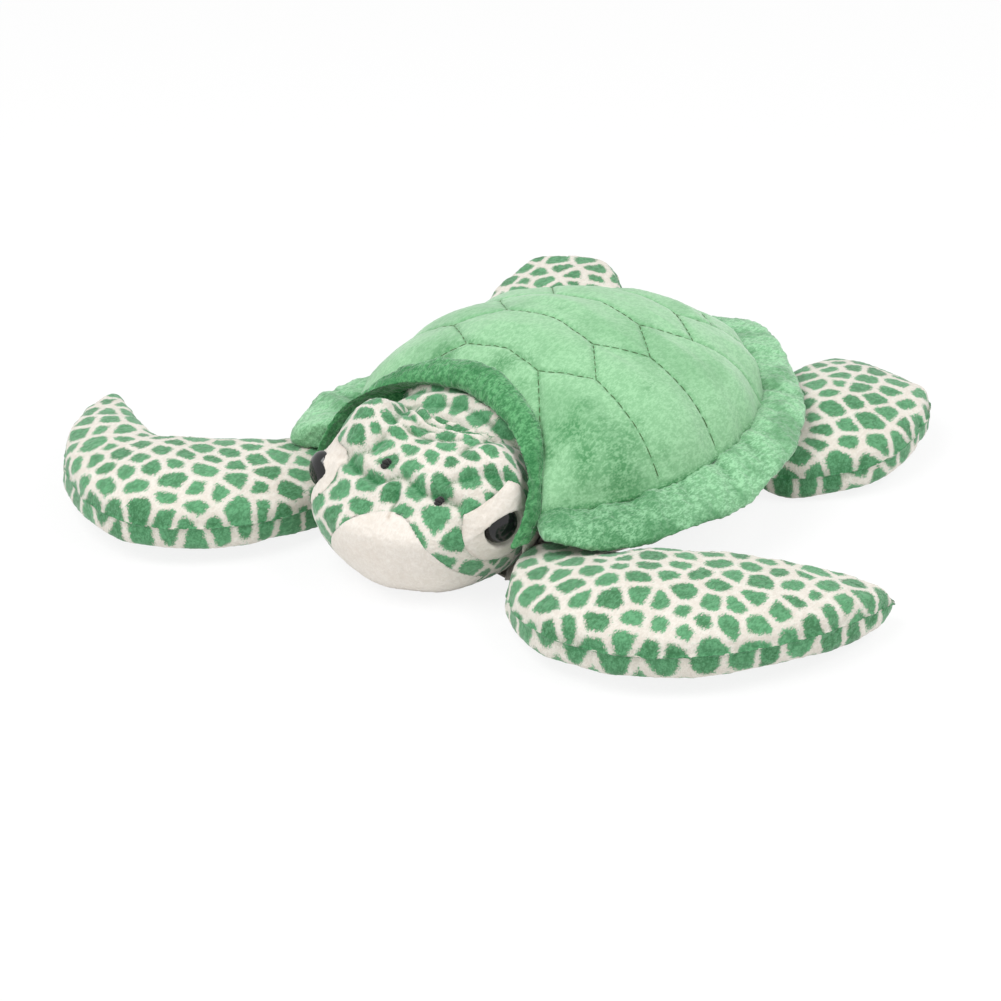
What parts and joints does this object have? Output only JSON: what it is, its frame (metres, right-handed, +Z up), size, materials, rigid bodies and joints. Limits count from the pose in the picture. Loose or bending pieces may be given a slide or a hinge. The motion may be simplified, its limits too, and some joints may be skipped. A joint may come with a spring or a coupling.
{
  "type": "plush turtle",
  "caption": "Stuffed toy sea turtle with a quilted domed shell, a floppy padded rim, a spotted head on a soft neck and spotted flippers sewn on at hinge-like seams.",
  "frame": {"origin": "on the flat underside of the belly, on the middle plane, under the middle of the shell", "axes": "+Z up out of the shell, -Y towards the head, +X towards the turtle's own left side"},
  "size_m": [0.3951, 0.3478, 0.0867],
  "materials": {
    "shell_plush": "matte",
    "rim_plush": "matte",
    "spotted_plush": "matte",
    "cream_plush": "matte",
    "eye_plastic": "gloss",
    "washer_plastic": "satin",
    "thread": "matte",
    "stuffing": "matte",
    "pouch_cloth": "matte"
  },
  "bodies": {
    "shell": {"shell_dome": "shell_plush", "belly_panel": "cream_plush", "body_stuffing": "stuffing", "pellet_pouch": "pouch_cloth", "shell_rim": "rim_plush", "neck_collar": "rim_plush"},
    "neck": {"neck_stuffing": "stuffing"},
    "head": {"head_skin": "spotted_plush", "muzzle_panel": "cream_plush", "head_stuffing": "stuffing", "eye_patch_left": "cream_plush", "eye_patch_right": "cream_plush", "eye_left": "eye_plastic", "eye_right": "eye_plastic", "eye_washer_left": "washer_plastic", "eye_washer_right": "washer_plastic", "nostril_left": "thread", "nostril_right": "thread"},
    "front_left": {"front_flipper_left_top": "spotted_plush", "front_flipper_left_bottom": "spotted_plush", "front_flipper_left_stuffing": "stuffing"},
    "front_right": {"front_flipper_right_top": "spotted_plush", "front_flipper_right_bottom": "spotted_plush", "front_flipper_right_stuffing": "stuffing"},
    "rear_left": {"rear_flipper_left_top": "spotted_plush", "rear_flipper_left_bottom": "spotted_plush", "rear_flipper_left_stuffing": "stuffing"},
    "rear_right": {"rear_flipper_right_top": "spotted_plush", "rear_flipper_right_bottom": "spotted_plush", "rear_flipper_right_stuffing": "stuffing"}
  },
  "joints": [
    {"name": "neck_turn", "type": "hinge", "parent": "shell", "child": "neck", "pos_m": [0, -0.064, 0.033], "axis": [0, 0, 1], "range_deg": [-11, 3], "stiffness_Nm_per_rad": 0.25},
    {"name": "head_nod", "type": "hinge", "parent": "neck", "child": "head", "pos_m": [0, -0.064, 0.033], "axis": [-0.9962, -0.0872, 0], "range_deg": [-7, 10], "stiffness_Nm_per_rad": 0.6},
    {"name": "front_left_hinge", "type": "hinge", "parent": "shell", "child": "front_left", "pos_m": [0.067, -0.085, 0.015], "axis": [-0.7431, -0.6691, 0], "range_deg": [-35, 10], "stiffness_Nm_per_rad": 0.3},
    {"name": "front_right_hinge", "type": "hinge", "parent": "shell", "child": "front_right", "pos_m": [-0.067, -0.085, 0.015], "axis": [-0.7431, 0.6691, 0], "range_deg": [-35, 10], "stiffness_Nm_per_rad": 0.3},
    {"name": "rear_left_hinge", "type": "hinge", "parent": "shell", "child": "rear_left", "pos_m": [0.068, 0.056, 0.012], "axis": [0.6157, -0.788, 0], "range_deg": [-35, 10], "stiffness_Nm_per_rad": 0.2},
    {"name": "rear_right_hinge", "type": "hinge", "parent": "shell", "child": "rear_right", "pos_m": [-0.068, 0.056, 0.012], "axis": [0.6157, 0.788, 0], "range_deg": [-35, 10], "stiffness_Nm_per_rad": 0.2}
  ]
}
